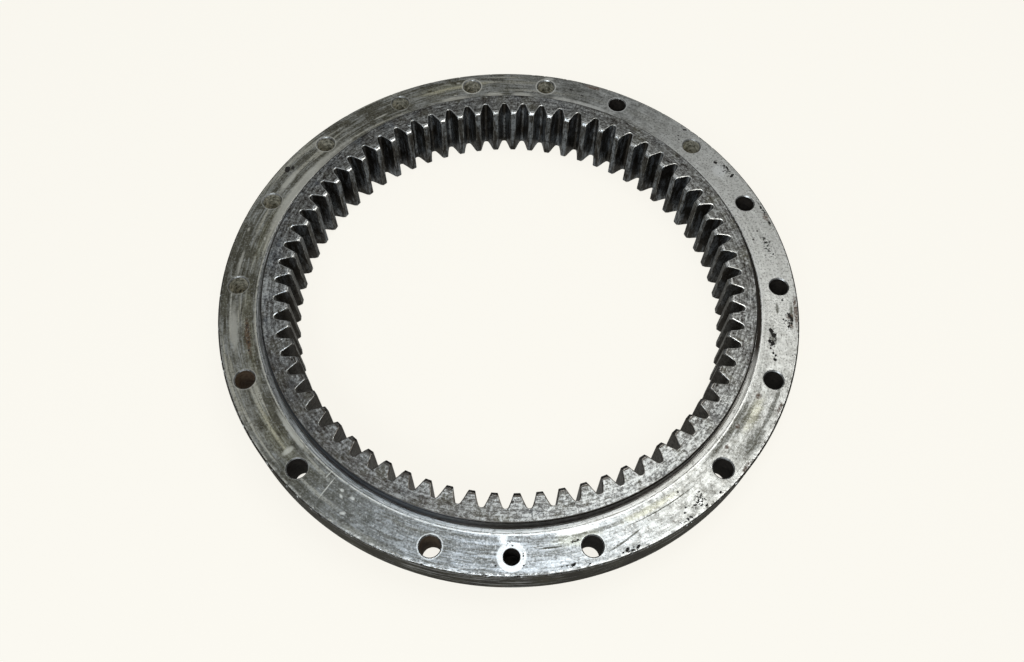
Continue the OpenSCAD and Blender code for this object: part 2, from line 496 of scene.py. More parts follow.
def blank_zone(sizes, place):
    """Name of the finish at a place on the turned blank."""
    radius, height = place.xy.length, place.z
    middle = sizes.total_height / 2
    rise = abs(height - middle)
    face = middle - sizes.register_height
    tip = tip_radius(sizes)
    if radius > sizes.flange_radius - sizes.edge_chamfer * 0.99:
        return "rim"
    if radius > sizes.register_radius + sizes.relief_width * 1.01:
        if height < middle:
            return "flange_bottom"
        return "flange_near" if place.y < 0 else "flange_far"
    if radius > sizes.register_radius - sizes.edge_chamfer * 0.99 and rise > face - 3 * MM:
        return "register"
    if rise > middle - 0.01 * MM:
        return "toothed_face"
    if radius > tip + 0.01 * MM:
        return "lead_in"
    return "tip_land"


def set_zones(blank, sizes, materials):
    """Gives each face of the turned blank the material of its zone."""
    names = ("tip_land", "lead_in", "toothed_face", "register")
    names += ("flange_near", "flange_far", "flange_bottom", "rim")
    blank.data.materials.clear()
    for name in names:
        blank.data.materials.append(materials[name])
    for face in blank.data.polygons:
        face.material_index = names.index(blank_zone(sizes, face.center))


def dissolve_flats(piece):
    """Joins the faces that lie in one plane, so that the edges left are real ones."""
    edit_all(piece)
    bpy.ops.mesh.remove_doubles(threshold=CUT_GAP)
    bpy.ops.mesh.dissolve_limited(angle_limit=FLAT_ANGLE, delimit={"MATERIAL"})
    end_edit()


def edge_share(sizes, middle):
    """Share of the full rounding that an edge gets, by the place of its middle."""
    radius = middle.xy.length
    root = root_radius(sizes)
    at_end = min(middle.z, sizes.total_height - middle.z) < sizes.lead_height
    if at_end and radius < root + 0.1 * MM:
        return END_SHARE
    foot = sizes.register_radius + sizes.relief_width
    if sizes.register_radius - 0.1 * MM < radius < foot + 0.1 * MM:
        return GROOVE_SHARE
    return OTHER_SHARE


def round_edges(piece, sizes, material):
    """Rounds the sharp edges, most at the ends of the teeth and least round the tool grooves."""
    mesh = piece.data
    mesh.materials.append(material)
    weights = mesh.attributes.new("bevel_weight_edge", "FLOAT", "EDGE")
    normals = {}
    for face in mesh.polygons:
        for key in face.edge_keys:
            normals.setdefault(key, []).append(face.normal)
    for edge in mesh.edges:
        sides = normals.get(edge.key, [])
        if len(sides) == 2 and sides[0].angle(sides[1]) > SHARP_ANGLE:
            ends = [mesh.vertices[i].co for i in edge.vertices]
            weights.data[edge.index].value = edge_share(sizes, (ends[0] + ends[1]) / 2)
    apply_modifier(
        piece,
        "Round",
        "BEVEL",
        width=sizes.edge_round,
        segments=2,
        limit_method="WEIGHT",
        use_clamp_overlap=False,
        material=len(mesh.materials) - 1,
    )


def pebble(name, material, rng):
    """A lumpy pebble, one unit in radius, as the cutter for a chip or a pit."""
    deselect_all()
    bpy.ops.mesh.primitive_ico_sphere_add(subdivisions=2, radius=1)
    chip = bpy.context.object
    chip.name = name
    for vertex in chip.data.vertices:
        vertex.co *= rng.uniform(0.72, 1.0)
    chip.data.materials.append(material)
    return chip


def keep_crisp(piece, materials):
    """Marks the outlines of pits and chips as sharp, so that the faces round them stay flat."""
    mesh = piece.data
    worn = {i for i, material in enumerate(mesh.materials) if material in materials}
    sides = {}
    for face in mesh.polygons:
        for key in face.edge_keys:
            sides.setdefault(key, set()).add(face.material_index in worn)
    for edge in mesh.edges:
        if len(sides.get(edge.key, ())) == 2:
            edge.use_edge_sharp = True


def rim_chips(sizes, material, rng):
    """Chips and knocks along the edges of the rim, where the part has been rolled and dropped."""
    faces = (
        (upper_face(sizes), UPPER_CHIPS, 1.0),
        (sizes.register_height, LOWER_CHIPS, -1.0),
    )
    places = []
    for height, count, side in faces:
        for i in range(count):
            angle = 360 * (i + rng.uniform(0.1, 0.9)) / count
            half_length = rng.choice((0.7, 1.0, 1.3, 1.8, 2.8)) * rng.uniform(0.8, 1.2)
            depth = rng.uniform(0.5, 1.1)
            size = Matrix.Diagonal((half_length * MM, depth * MM, depth * 1.1 * MM, 1))
            turn = Matrix.Rotation(rng.uniform(-0.5, 0.5), 4, "Y")
            inset = rng.uniform(0.0, 0.35) * MM
            height_here = height - side * rng.uniform(0, 0.4) * MM
            place = on_ring(angle, sizes.flange_radius - inset, height_here)
            places.append(place @ turn @ size)
    return copies_joined(pebble("rim_chips", material, rng), places)


def face_pits(sizes, material, rng):
    """Pits and chips in the upper flange face, at the places where the real one has them."""
    face = upper_face(sizes)
    places = []
    for angle, share, long_side, wide_side in PITS:
        half_axes = (long_side * MM * PIT_SHARE, wide_side * MM * PIT_SHARE, PIT_DEPTH, 1)
        size = Matrix.Diagonal(half_axes)
        turn = Matrix.Rotation(rng.uniform(-0.6, 0.6), 4, "Z")
        places.append(on_ring(angle, share * sizes.flange_radius, face) @ turn @ size)
    return copies_joined(pebble("face_pits", material, rng), places)


def tooth_nicks(sizes, material, rng):
    """Small nicks in the ends of the teeth, at random tooth corners and flanks."""
    pitch = 360 / sizes.tooth_count
    tip = tip_radius(sizes)
    places = []
    for _ in range(NICK_COUNT):
        tooth = math.degrees(sizes.first_gap) + pitch * (rng.randrange(sizes.tooth_count) + 0.5)
        angle = tooth + rng.choice((-1, 1)) * pitch * rng.uniform(0.16, 0.36)
        radius = tip + rng.uniform(0.4, 7.5) * MM
        size = rng.uniform(0.5, 1.1) * MM
        stretch = Matrix.Diagonal((size, size * rng.uniform(0.8, 1.8), size * 0.8, 1))
        places.append(on_ring(angle, radius, sizes.total_height + 0.1 * MM) @ stretch)
    return copies_joined(pebble("tooth_nicks", material, rng), places)


def hole_form(name, profile, around, mouths, materials):
    """A filled turned form whose faces beyond the two mouth heights get the second material."""
    hole = turn_profile(name, profile, around, filled=True)
    for material in materials:
        hole.data.materials.append(material)
    low, high = mouths
    for face in hole.data.polygons:
        face.material_index = 0 if low < face.center.z < high else 1
    return hole


def bolt_holes(sizes, angles, wall, mouth):
    """Bolt holes at the given angles, each with its chamfers."""
    radius, chamfer = sizes.bolt_hole, sizes.bolt_chamfer
    bottom, top = sizes.register_height, upper_face(sizes)
    profile = (
        (radius + chamfer + MOUTH_OVER, bottom - MOUTH_OVER),
        (radius, bottom + chamfer),
        (radius, top - chamfer),
        (radius + chamfer + MOUTH_OVER, top + MOUTH_OVER),
    )
    mouths = (bottom + chamfer / 2, top - chamfer / 2)
    hole = hole_form("bolt_holes", profile, BOLT_HOLE_SIDES, mouths, (wall, mouth))
    return copies_joined(hole, [on_ring(angle, sizes.bolt_circle) for angle in angles])


def small_hole(sizes, wall, mouth):
    """The small blind hole with its drill point."""
    radius, top = sizes.small_hole, upper_face(sizes)
    bottom = top - sizes.small_depth
    point = (radius - DRILL_FLAT) / math.tan(DRILL_HALF_ANGLE)
    profile = (
        (DRILL_FLAT, bottom - point),
        (radius, bottom),
        (radius, top - SMALL_BREAK),
        (radius + SMALL_BREAK + MOUTH_OVER, top + MOUTH_OVER),
    )
    mouths = (0, top - SMALL_BREAK / 2)
    hole = hole_form("small_hole", profile, SMALL_HOLE_SIDES, mouths, (wall, mouth))
    return copies_joined(hole, [on_ring(SMALL_HOLE, sizes.bolt_circle)])


def all_holes(sizes, materials):
    mouth = materials["hole_mouth"]
    walls = (("dust_and_light_hole", DUST_AND_LIGHT_HOLES), ("shaded_hole", SHADED_HOLES), ("rusty_hole", RUSTY_HOLES))
    holes = [bolt_holes(sizes, angles, materials[name], mouth) for name, angles in walls]
    return joined(holes + [small_hole(sizes, materials["shaded_hole"], mouth)])


def all_wear(sizes, materials, rng):
    kinds = ((rim_chips, "chip"), (face_pits, "pit"), (tooth_nicks, "chip"))
    return joined([make(sizes, materials[name], rng) for make, name in kinds])


class Wiring:
    """Adds nodes to one tree and wires them."""

    def __init__(self, tree):
        self.tree = tree

    def node(self, kind, inputs, **settings):
        made = self.tree.nodes.new("ShaderNode" + kind)
        for key, value in settings.items():
            setattr(made, key, value)
        for socket, value in inputs.items():
            self.feed(made.inputs[socket], value)
        return made

    def feed(self, socket, value):
        if isinstance(value, bpy.types.NodeSocket):
            self.tree.links.new(value, socket)
        else:
            socket.default_value = value

    def math(self, operation, first, second=0.0, third=0.0):
        inputs = {0: first, 1: second, 2: third}
        return self.node("Math", inputs, operation=operation).outputs[0]

    def times(self, first, second):
        return self.math("MULTIPLY", first, second)

    def plus(self, first, second):
        return self.math("ADD", first, second)

    def most(self, first, second):
        return self.math("MAXIMUM", first, second)

    def combine(self, x, y, z):
        return self.node("CombineXYZ", {0: x, 1: y, 2: z}).outputs[0]

    def ramp(self, value, low, high, to_low=0.0, to_high=1.0):
        """Goes evenly from one result to the other between two values, and stays there beyond."""
        inputs = {0: value, 1: low, 2: high, 3: to_low, 4: to_high}
        return self.node("MapRange", inputs).outputs[0]

    def mix(self, factor, first, second):
        node = self.node("Mix", {0: factor}, data_type="RGBA")
        for socket, value in ((node.inputs[6], first), (node.inputs[7], second)):
            is_colour = not isinstance(value, bpy.types.NodeSocket)
            self.feed(socket, (*value, 1.0) if is_colour else value)
        return node.outputs[2]

    def noise(self, vector, detail=3.0, roughness=0.55, scale=1.0):
        inputs = {"Vector": vector, "Scale": scale, "Detail": detail, "Roughness": roughness}
        return self.node("TexNoise", inputs).outputs[0]


class Recipe(Wiring):
    """One material, built up from its base colour.

    The two numbers after a noise or a coordinate are the values between which it fades in.
    """

    def __init__(self, name, **constants):
        self.material = bpy.data.materials.new(name)
        self.material.use_nodes = True
        super().__init__(self.material.node_tree)
        self.shader = self.tree.nodes["Principled BSDF"]
        for socket, value in constants.items():
            self.shader.inputs[socket.replace("_", " ")].default_value = value

    def place(self):
        """Object coordinates, with the radius and the clockwise angle from +Y beside them."""
        self.xyz = self.node("TexCoord", {}).outputs["Object"]
        split = self.node("SeparateXYZ", {0: self.xyz}).outputs
        self.x, self.y, self.z = split[0], split[1], split[2]
        self.flat = self.combine(self.x, self.y, 0.0)
        self.radius = self.node("VectorMath", {0: self.flat}, operation="LENGTH").outputs["Value"]
        back = self.math("ARCTAN2", self.times(self.x, -1), self.times(self.y, -1))
        self.angle = self.plus(back, math.pi)

    def sector(self, middle, full, none):
        """1 within the first half-width round an angle on the ring, 0 beyond the second one."""
        turn = math.radians(middle)
        across = self.times(self.x, math.sin(turn))
        along = self.math("MULTIPLY_ADD", self.y, math.cos(turn), across)
        cosine = self.math("DIVIDE", along, self.radius)
        return self.ramp(cosine, math.cos(math.radians(none)), math.cos(math.radians(full)))

    def lay(self, factor, colour):
        """Lays a colour over the base."""
        self.base = self.mix(factor, self.base, colour)

    def tint(self, factor, colour):
        """Multiplies the base by a colour."""
        inputs = {0: factor, 6: self.base, 7: (*colour, 1.0)}
        self.base = self.node("Mix", inputs, data_type="RGBA", blend_type="MULTIPLY").outputs[2]

    def cloud(self, size, detail=3.0, roughness=0.6):
        """Noise with patches of about the given size."""
        return self.noise(self.xyz, detail, roughness, 1 / size)

    def upright(self, across, along, detail, roughness):
        """Noise drawn out along the ring's axis, with its scales across and along it."""
        inputs = {"Vector": self.xyz, "Scale": (across, across, along)}
        return self.noise(self.node("Mapping", inputs).outputs[0], detail, roughness)

    def rise(self, middle):
        """Distance from the plane through the middle of the ring."""
        return self.math("ABSOLUTE", self.math("SUBTRACT", self.z, middle))

    def streaks(self, width, run, detail=3.0, roughness=0.6):
        """Noise drawn out round the ring, as turning leaves it."""
        turns = MARK_RADIUS / run
        x = self.times(self.math("DIVIDE", self.x, self.radius), turns)
        y = self.times(self.math("DIVIDE", self.y, self.radius), turns)
        across = self.times(self.plus(self.radius, self.z), 1 / width)
        return self.noise(self.combine(x, y, across), detail, roughness)

    def unrolled(self):
        """The ring laid out flat: way round at the mark radius, then radius and height."""
        return self.combine(self.times(self.angle, MARK_RADIUS), self.radius, self.z)

    def marks(self, table, flange_radius, ragged):
        """Patches from a table of marks, with edges broken up by the ragged noise."""
        flat = self.unrolled()
        found = None
        for angle, share, long_side, wide_side, *turn in table:
            inputs = {
                "Vector": flat,
                "Location": (math.radians(angle) * MARK_RADIUS, share * flange_radius, 0),
                "Rotation": (0, 0, math.radians(sum(turn))),
                "Scale": (long_side * MM / 2, wide_side * MM / 2, 1),
            }
            local = self.node("Mapping", inputs, vector_type="TEXTURE").outputs[0]
            far = self.node("VectorMath", {0: local}, operation="LENGTH").outputs["Value"]
            found = far if found is None else self.math("MINIMUM", found, far)
        edge = self.plus(found, self.times(ragged, 1.2))
        return self.ramp(edge, 1.15, 1.75, 1.0, 0.0)

    def rings(self, table, bolt_circle):
        """Brightness of the rubbed rings, by the distance to the middle of each hole."""
        found = 0.0
        for angle, outer, brightness in table:
            turn = math.radians(angle)
            middle = (bolt_circle * math.sin(turn), bolt_circle * math.cos(turn), 0)
            inputs = {0: self.flat, 1: middle}
            away = self.node("VectorMath", inputs, operation="DISTANCE").outputs["Value"]
            ring = self.ramp(away, (outer - RING_FADE) * MM, outer * MM, brightness, 0.0)
            found = self.most(ring, found)
        return found

    def bump(self, height, depth, before=None):
        inputs = {"Height": height, "Distance": depth, "Strength": 1.0}
        if before is not None:
            inputs["Normal"] = before
        return self.node("Bump", inputs).outputs[0]

    def wired(self, roughness, metallic, normal):
        """The finished material, with the base colour and these values on its shader."""
        names = ("Base Color", "Roughness", "Metallic", "Normal")
        for name, value in zip(names, (self.base, roughness, metallic, normal)):
            self.feed(self.shader.inputs[name], value)
        return self.material


def marks_near(table, middle):
    """The marks of a table that reach into the half of the ring round an angle."""
    kept = []
    for mark in table:
        away = abs((mark[0] - middle + 180) % 360 - 180)
        if away < HALF_RING + mark[2] / 2 * MM / MARK_RADIUS * REACH_DEGREES:
            kept.append(mark)
    return kept


def flange_steel(name, finish, sizes, middle=None):
    """Turned steel of a flange face, with streaks and grime.

    Half of a face, round its middle angle, gets the local marks that lie there.
    """
    r = Recipe(name)
    r.place()
    fine = r.streaks(1.1 * MM, 14 * MM, 4, 0.7)
    broad = r.streaks(3 * MM, 70 * MM, 4, 0.6)
    patches = r.cloud(15 * MM, 5, 0.65)
    grain = r.cloud(1.5 * MM, 3, 0.75)
    ragged = r.cloud(3.5 * MM, 5, 0.75)
    mottle = r.cloud(6 * MM, 5, 0.65)

    def patches_of(table):
        return r.marks(marks_near(table, middle), sizes.flange_radius, ragged)

    # Turned steel, with streaks of dull metal
    streaky = r.most(r.sector(315, 45, 70), r.sector(183, 12, 26))
    streaky = r.ramp(streaky, 0.0, 1.0, 0.3, 0.8)
    tone = r.math("MULTIPLY_ADD", streaky, r.math("SUBTRACT", fine, mottle), mottle)
    r.base = r.mix(r.ramp(tone, 0.4, 0.58), finish.dull_steel, finish.steel)
    r.lay(r.ramp(broad, 0.45, 0.66, 0.0, 0.55), finish.dull_steel)
    # Painted highlight, partly polish: the flange round 74° is lightened where the light from the
    # right is mirrored.
    r.lay(r.times(r.sector(74, 20, 46), 0.6), finish.polish_and_painted_sheen)

    # Film of oil and dust, thickest on the left and along the rim. On the left the thicker film and
    # the darker tint are partly dirt and partly painted shade, away from the light on the right.
    left = r.sector(290, 65, 100)
    side = r.ramp(r.x, -0.15, 0.08, 0.22, -0.08)
    film = r.plus(side, r.times(r.plus(patches, broad), 0.5))
    film = r.ramp(film, 0.44, 0.7, 0.0, 0.85)
    edge = r.ramp(r.radius, sizes.flange_radius - 2.6 * MM, sizes.flange_radius - 1.2 * MM)
    film = r.most(film, r.times(edge, r.ramp(ragged, 0.5, 0.4, 0.0, 0.95)))
    if middle is not None:
        film = r.most(film, r.times(patches_of(DARK_MARKS), 0.95))
    film = r.times(film, r.ramp(fine, 0.6, 0.42, 0.5, 1.0))
    r.lay(film, finish.grime)
    # Dirt and painted shade: the left side is tinted darker.
    r.tint(r.times(left, r.ramp(r.plus(broad, patches), 1.04, 0.9)), finish.swept_dirt_and_shade)
    r.lay(r.times(left, r.ramp(broad, 0.54, 0.62, 0.0, 0.4)), finish.dust)

    # Where the face is rubbed pale: beside the relief, along the near rim and at marks
    shoulder = sizes.register_radius + sizes.relief_width
    pale = r.ramp(r.radius, shoulder + 0.7 * MM, shoulder + 1.3 * MM, 0.8, 0.0)
    pale = r.times(pale, r.ramp(ragged, 0.36, 0.5, 0.15, 1.0))
    near = r.ramp(r.y, 0.0, -0.12, 0.1, 1.0)
    rubbed = r.times(r.times(edge, near), r.ramp(ragged, 0.46, 0.56))
    pale = r.most(pale, r.times(rubbed, 0.8))
    cover = film
    specks = r.plus(r.cloud(1.9 * MM, 3, 0.65), r.ramp(r.x, -0.1, 0.15, -0.05, 0.0))
    if middle is not None:
        rust = r.times(patches_of(RUST_MARKS), r.ramp(grain, 0.4, 0.55, 0.4, 1.0))
        r.lay(rust, finish.rust)
        pale = r.most(pale, r.times(patches_of(PALE_MARKS), 0.65))
        worn_rings = r.rings(marks_near(RUBBED_RINGS, middle), sizes.bolt_circle)
        worn_rings = r.times(worn_rings, r.ramp(grain, 0.34, 0.46))
        pale = r.most(pale, worn_rings)
        specks = r.plus(specks, r.times(patches_of(SPECKLED), 0.17))
        cover = r.most(film, rust)
        # Painted reflection: the near flange round 192° is tinted cool, as if mirroring the bluish
        # window light.
        r.tint(r.sector(192, 14, 45), finish.cool)
        r.tint(patches_of(YELLOW_MARKS), finish.yellow)

    # Grain, bare patches and black specks over all of it
    r.lay(r.ramp(grain, 0.53, 0.63, 0.0, 0.7), finish.oil)
    specky = r.math("MULTIPLY_ADD", left, -0.4, 0.65)
    r.lay(r.times(r.ramp(grain, 0.45, 0.36), specky), finish.worn)
    r.lay(pale, r.mix(r.times(left, 0.6), finish.worn, finish.dust))
    black = r.ramp(specks, 0.68, 0.71)
    r.lay(black, finish.pit)
    cover = r.most(r.math("SUBTRACT", cover, pale), black)
    roughness = r.plus(r.ramp(fine, 0.3, 0.7, 0.3, 0.42), r.times(cover, 0.25))
    metallic = r.ramp(cover, 0.0, 1.0, 1.0, 0.3)
    far_pale = r.times(pale, r.ramp(r.y, -0.05, 0.08, 0.0, 0.6))
    metallic = r.math("SUBTRACT", metallic, far_pale)
    normal = r.bump(fine, 0.07 * MM, r.bump(grain, 0.1 * MM))
    return r.wired(roughness, metallic, normal)


def toothed_face_steel(name, finish, sizes):
    """Granular, mottled grey of the toothed ring's end face, with a painted highlight at the near
    right and painted shade round 218°.
    """
    r = Recipe(name)
    r.place()
    grain = r.cloud(1.7 * MM, 4, 0.75)
    turned = r.streaks(1.5 * MM, 12 * MM, 3, 0.65)
    patches = r.cloud(11 * MM, 4)
    tints = r.cloud(17 * MM, 3)
    tone = r.plus(r.times(grain, 0.62), r.times(turned, 0.38))
    # Painted highlight: the tone rises towards the near right and round 148°, where the soft box is
    # mirrored. The rise round 260° is a lighter patch of the face.
    bright = r.plus(r.ramp(r.x, -0.12, 0.12, -0.02, 0.0), r.ramp(r.y, -0.06, -0.16, 0.0, 0.04))
    bright = r.math("MULTIPLY_ADD", r.sector(148, 10, 18), 0.03, bright)
    bright = r.math("MULTIPLY_ADD", r.sector(260, 8, 16), 0.032, bright)
    tone = r.plus(tone, bright)
    r.base = r.mix(r.ramp(tone, 0.4, 0.56), finish.oil, finish.forging)
    cool = r.times(r.ramp(tints, 0.5, 0.64, 0.0, 0.35), r.ramp(r.x, -0.1, 0.12, 1.0, 0.3))
    cool = r.times(cool, r.ramp(r.radius, 157 * MM, 166 * MM, 0.2, 1.2))
    r.lay(cool, finish.blued)
    r.lay(r.ramp(tints, 0.46, 0.36, 0.0, 0.5), finish.grime)
    r.lay(r.ramp(patches, 0.47, 0.65, 0.0, 0.55), finish.dull_steel)
    r.lay(r.ramp(tone, 0.51, 0.62, 0.0, 0.9), finish.steel)
    r.lay(r.ramp(tone, 0.45, 0.38, 0.0, 0.8), finish.pit)
    # Painted shade: the face round 218° is darkened with the oil colour, most towards the outer
    # radius.
    painted_shade = r.ramp(r.radius, 158 * MM, 164 * MM, 0.28, 0.5)
    r.lay(r.times(r.sector(218, 24, 50), painted_shade), finish.oil)
    # Painted light on the band at the top edge of the lead-in: the oil colour on the near side is
    # painted shade, the worn colour on the far side painted highlight.
    cap_radius = tip_radius(sizes) + sizes.lead_width
    lit_and_shaded_cap = r.plus(r.radius, r.times(grain, -1.6 * MM))
    lit_and_shaded_cap = r.ramp(lit_and_shaded_cap, cap_radius - 0.2 * MM, cap_radius + 0.1 * MM, 0.9, 0.0)
    r.lay(lit_and_shaded_cap, r.mix(r.ramp(r.y, -0.06, 0.0), finish.oil, finish.worn))
    normal = r.bump(tone, 0.3 * MM)
    return r.wired(r.ramp(tone, 0.35, 0.65, 0.55, 0.38), 0.9, normal)


def oiled_steel(name, finish, lights):
    """Blackened, oily steel of the bore, with upright scratches and a few light patches. The far
    flanks are painted lighter, and their pale bluish columns are partly rubbing and partly painted
    glints.
    """
    r = Recipe(name, Coat_Weight=0.35, Coat_Roughness=0.15)
    r.place()
    wear = r.upright(600, 110, 4, 0.7)
    columns = r.upright(190, 45, 3, 0.6)
    lumps = r.cloud(2.6 * MM, 4, 0.7)
    # Painted light: the flanks are greyer towards the far side, and the pale columns there stand in
    # for glints as well as rubbing.
    dull = r.mix(r.ramp(r.y, -0.04, 0.08), finish.grime, finish.dull_steel)
    r.base = r.mix(r.ramp(wear, 0.44, 0.66, 0.0, lights), finish.oil, dull)
    rubbed = r.times(r.ramp(columns, 0.46, 0.58), r.ramp(wear, 0.4, 0.56, 0.15, 1.0))
    rubbed = r.times(rubbed, r.ramp(r.y, -0.04, 0.08, 0.1, 1.0))
    r.lay(rubbed, finish.rubbed_oil_and_glint)
    r.lay(r.ramp(lumps, 0.52, 0.62, 0.0, 0.7), finish.pit)
    rough = r.ramp(lumps, 0.35, 0.65, 0.24, 0.5)
    return r.wired(rough, 0.9, r.bump(lumps, 0.25 * MM, r.bump(wear, 0.05 * MM)))


def register_steel(name, finish, sizes):
    """Register wall, tool groove and relief: dark wall, dark groove bottom and a bright relief,
    with painted shadow on the relief beside the wall.
    """
    r = Recipe(name)
    r.place()
    fine = r.streaks(0.9 * MM, 20 * MM, 4, 0.7)
    broken = r.cloud(2.4 * MM, 4, 0.7)
    middle = sizes.total_height / 2
    face = middle - sizes.register_height
    bright = r.mix(r.ramp(fine, 0.4, 0.66, 0.0, 0.8), finish.dull_steel, finish.worn)
    foot = sizes.register_radius
    # Painted shadow on the relief beside the register wall: its inner part on the left side, all of
    # it round 66°.
    painted_wall_shadow = r.ramp(r.radius, foot + 3.1 * MM, foot + 3.4 * MM, 0.6, 0.0)
    painted_wall_shadow = r.times(painted_wall_shadow, r.sector(290, 20, 60))
    bright = r.mix(r.most(painted_wall_shadow, r.sector(66, 40, 50)), bright, finish.pit)
    bright = r.mix(r.ramp(broken, 0.56, 0.64, 0.0, 0.6), bright, finish.pit)
    dark = r.mix(r.ramp(broken, 0.5, 0.68, 0.0, 0.5), finish.oil, finish.dull_steel)
    dark = r.mix(r.times(r.sector(225, 18, 40), 0.85), dark, finish.blued)
    r.base = r.mix(r.ramp(r.radius, foot + 0.12 * MM, foot + 0.22 * MM), dark, bright)
    shoulder = foot + sizes.relief_width
    line = r.ramp(r.radius, shoulder - 0.7 * MM, shoulder - 0.3 * MM)
    r.lay(r.times(line, r.ramp(broken, 0.4, 0.55, 1.0, 0.25)), finish.pit)
    r.lay(r.ramp(r.rise(middle), face - 1.1 * MM, face - 0.85 * MM, 0.6, 0.0), finish.oil)
    return r.wired(r.ramp(fine, 0.3, 0.7, 0.28, 0.45), 0.95, r.bump(fine, 0.05 * MM))


def rim_steel(name, finish):
    """Rim wall: dark and scuffed, with pale scrapes along it."""
    r = Recipe(name)
    r.place()
    scrapes = r.streaks(1.6 * MM, 22 * MM, 5, 0.7)
    patches = r.cloud(14 * MM, 4)
    lumps = r.cloud(1.8 * MM, 3, 0.7)
    r.base = r.mix(r.ramp(patches, 0.35, 0.65), finish.oil, finish.grime)
    r.lay(r.ramp(lumps, 0.5, 0.66, 0.0, 0.7), finish.pit)
    knocked = r.math("MULTIPLY_ADD", r.sector(187, 8, 18), 0.06, scrapes)
    r.lay(r.ramp(knocked, 0.6, 0.64, 0.0, 0.9), finish.worn)
    r.lay(r.ramp(patches, 0.6, 0.7, 0.0, 0.5), finish.rust)
    return r.wired(r.ramp(scrapes, 0.4, 0.7, 0.6, 0.4), 0.6, r.bump(scrapes, 0.12 * MM))


def worn_edge_steel(name, finish, sizes):
    """Rounded edges: worn bright at the far tooth ends, with painted shade on the near tooth edges
    and the register chamfer, and dark on the rim edges except at the near front.
    """
    r = Recipe(name)
    r.place()
    patches = r.cloud(4 * MM, 4, 0.75)
    wear = r.upright(500, 130, 4, 0.7)
    middle = sizes.total_height / 2
    root = root_radius(sizes)
    light = r.mix(r.ramp(patches, 0.4, 0.58), finish.dull_steel, finish.worn)
    dark = r.mix(r.ramp(patches, 0.5, 0.62, 0.0, 0.7), finish.oil, finish.dull_steel)
    toothed = r.ramp(r.radius, root + 0.4 * MM, root + 0.6 * MM, 1.0, 0.0)
    # Painted shade: the tooth edges on the near side are darkened.
    near = r.times(toothed, r.ramp(r.y, -0.02, -0.1))
    r.base = r.mix(r.times(near, 0.92), light, dark)
    deep = r.ramp(r.rise(middle), middle - 3 * MM, middle - 2 * MM, 1.0, 0.0)
    mottled = r.mix(r.ramp(wear, 0.46, 0.64), dark, finish.steel)
    r.lay(r.times(toothed, deep), mottled)
    foot = sizes.register_radius
    # Painted shade: the register's chamfer gets the oil colour, for the dark room that it mirrors.
    chamfer = r.times(r.ramp(r.radius, foot - 1.3 * MM, foot - 1.1 * MM), 0.9)
    chamfer = r.times(chamfer, r.ramp(r.radius, foot + 0.3 * MM, foot + 0.5 * MM, 1.0, 0.0))
    r.lay(chamfer, finish.oil)
    outer = r.ramp(r.radius, sizes.flange_radius - 1.5 * MM, sizes.flange_radius - 1.3 * MM)
    outer = r.times(outer, r.ramp(r.y, -0.14, -0.18, 0.92, 0.1))
    r.lay(outer, dark)
    rough = r.ramp(patches, 0.3, 0.7, 0.36, 0.24)
    return r.wired(rough, 0.95, r.bump(patches, 0.08 * MM))


def lead_in_steel(name, finish):
    """Chamfers at the tooth ends: smooth enough to mirror the room, with painted shade on the near
    side.
    """
    r = Recipe(name)
    r.place()
    patches = r.cloud(3 * MM, 4, 0.75)
    r.base = r.mix(r.ramp(patches, 0.4, 0.56), finish.dull_steel, finish.worn)
    # Painted shade: the near chamfers get the oil colour, for the dark room that they mirror.
    near = r.times(r.ramp(r.y, 0.0, -0.1), r.ramp(patches, 0.4, 0.65, 0.95, 0.7))
    r.lay(near, finish.oil)
    return r.wired(r.ramp(patches, 0.35, 0.65, 0.28, 0.18), 0.95, r.bump(patches, 0.06 * MM))


def edge_steel(name, light, dark, gloss):
    """Edges and chips rubbed to bare metal, with dull stretches between."""
    r = Recipe(name)
    r.place()
    patches = r.cloud(4 * MM, 4, 0.75)
    r.base = r.mix(r.ramp(patches, 0.42, 0.6), dark, light)
    return r.wired(r.ramp(patches, 0.3, 0.7, gloss + 0.12, gloss), 0.95, r.bump(patches, 0.1 * MM))


def hole_steel(name, light, dark, gloss):
    """Wall of a hole, in patches of two colours. Some holes get caked rust, some dust and painted
    light, and the black ones painted shade.
    """
    r = Recipe(name)
    r.place()
    patches = r.cloud(3 * MM, 4, 0.7)
    r.base = r.mix(r.ramp(patches, 0.38, 0.62), dark, light)
    return r.wired(gloss, 0.2, r.bump(patches, 0.2 * MM))


def ring_materials(sizes, finish):
    return {
        "flank": oiled_steel("Oiled flank", finish, 0.35),
        "tip_land": oiled_steel("Rubbed tooth tip", finish, 1.0),
        "lead_in": lead_in_steel("Lead-in chamfer", finish),
        "toothed_face": toothed_face_steel("Toothed face", finish, sizes),
        "register": register_steel("Register steel", finish, sizes),
        "flange_near": flange_steel("Turned flange, near half", finish, sizes, 180),
        "flange_far": flange_steel("Turned flange, far half", finish, sizes, 0),
        "flange_bottom": flange_steel("Turned flange, lower", finish, sizes),
        "rim": rim_steel("Scuffed rim", finish),
        "worn_edge": worn_edge_steel("Worn edge", finish, sizes),
        "chip": edge_steel("Chipped edge", finish.steel, finish.oil, 0.42),
        "pit": hole_steel("Pit", finish.pit, finish.pit, 0.85),
        "hole_mouth": edge_steel("Hole mouth", finish.worn, finish.dull_steel, 0.35),
        # Dust and painted light on the walls of these holes.
        "dust_and_light_hole": hole_steel("Hole wall, dust and painted light", finish.dust, finish.grime, 0.7),
        # Painted shade on the walls of these holes and of the small hole.
        "shaded_hole": hole_steel("Hole wall in painted shade", finish.pit, finish.oil, 0.6),
        "rusty_hole": hole_steel("Rusty hole wall", finish.caked_rust, finish.rust, 0.6),
    }


